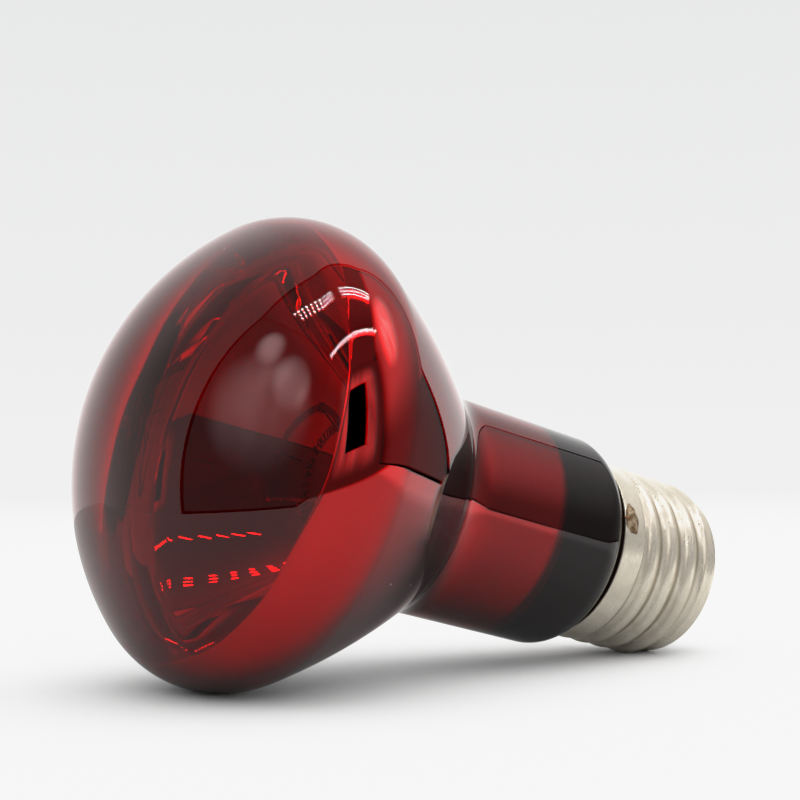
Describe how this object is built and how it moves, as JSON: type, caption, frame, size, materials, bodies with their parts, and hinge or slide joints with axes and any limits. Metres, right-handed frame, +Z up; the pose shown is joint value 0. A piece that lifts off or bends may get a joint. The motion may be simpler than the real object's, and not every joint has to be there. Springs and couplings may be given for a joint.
{
  "type": "infrared reflector heat bulb",
  "caption": "Red glass infrared reflector bulb with domed face, mirrored cone, narrow neck, filament on a glass stem and a nickel-plated large Edison screw cap, lying on its side.",
  "frame": {"origin": "on the resting surface, under the middle of the bounding box", "axes": "+Z up from the resting surface; +X towards the cap along the bulb, whose own axis dips towards the cap by about 15.2 degrees in the XZ plane"},
  "size_m": [0.0986, 0.063, 0.0616],
  "materials": {
    "red_glass": "clear, gloss, deep red",
    "mirror_film": "bright aluminium film",
    "clear_glass": "clear, fire polished",
    "tungsten": "drawn, dull grey",
    "molybdenum": "drawn wire",
    "lead_wire": "nickel plated wire",
    "copper_wire": "copper clad wire",
    "solder": "dull, smeared",
    "side_solder": "solder stained brown by flux",
    "cement": "dark, baked",
    "nickel_brass": "nickel plated, satin bright, rolled",
    "black_glass": "black, moulded, gloss",
    "brass": "stamped, bright"
  },
  "bodies": {
    "root": {"glass_envelope": "red_glass", "mirror_coating": "mirror_film", "stem_flare": "clear_glass", "stem_press": "clear_glass", "exhaust_tube": "clear_glass", "support_rod": "clear_glass", "filament_hook_left": "molybdenum", "filament_hook_middle": "molybdenum", "filament_hook_right": "molybdenum", "filament": "tungsten", "inner_lead_left": "lead_wire", "inner_lead_right": "lead_wire", "seal_wire_left": "copper_wire", "seal_wire_right": "copper_wire", "centre_lead": "copper_wire", "centre_lead_fuse": "clear_glass", "side_lead": "copper_wire", "side_solder": "side_solder", "capping_cement": "cement", "cap_shell": "nickel_brass", "cap_insulator": "black_glass", "contact_eyelet": "brass", "centre_solder": "solder"}
  },
  "joints": []
}
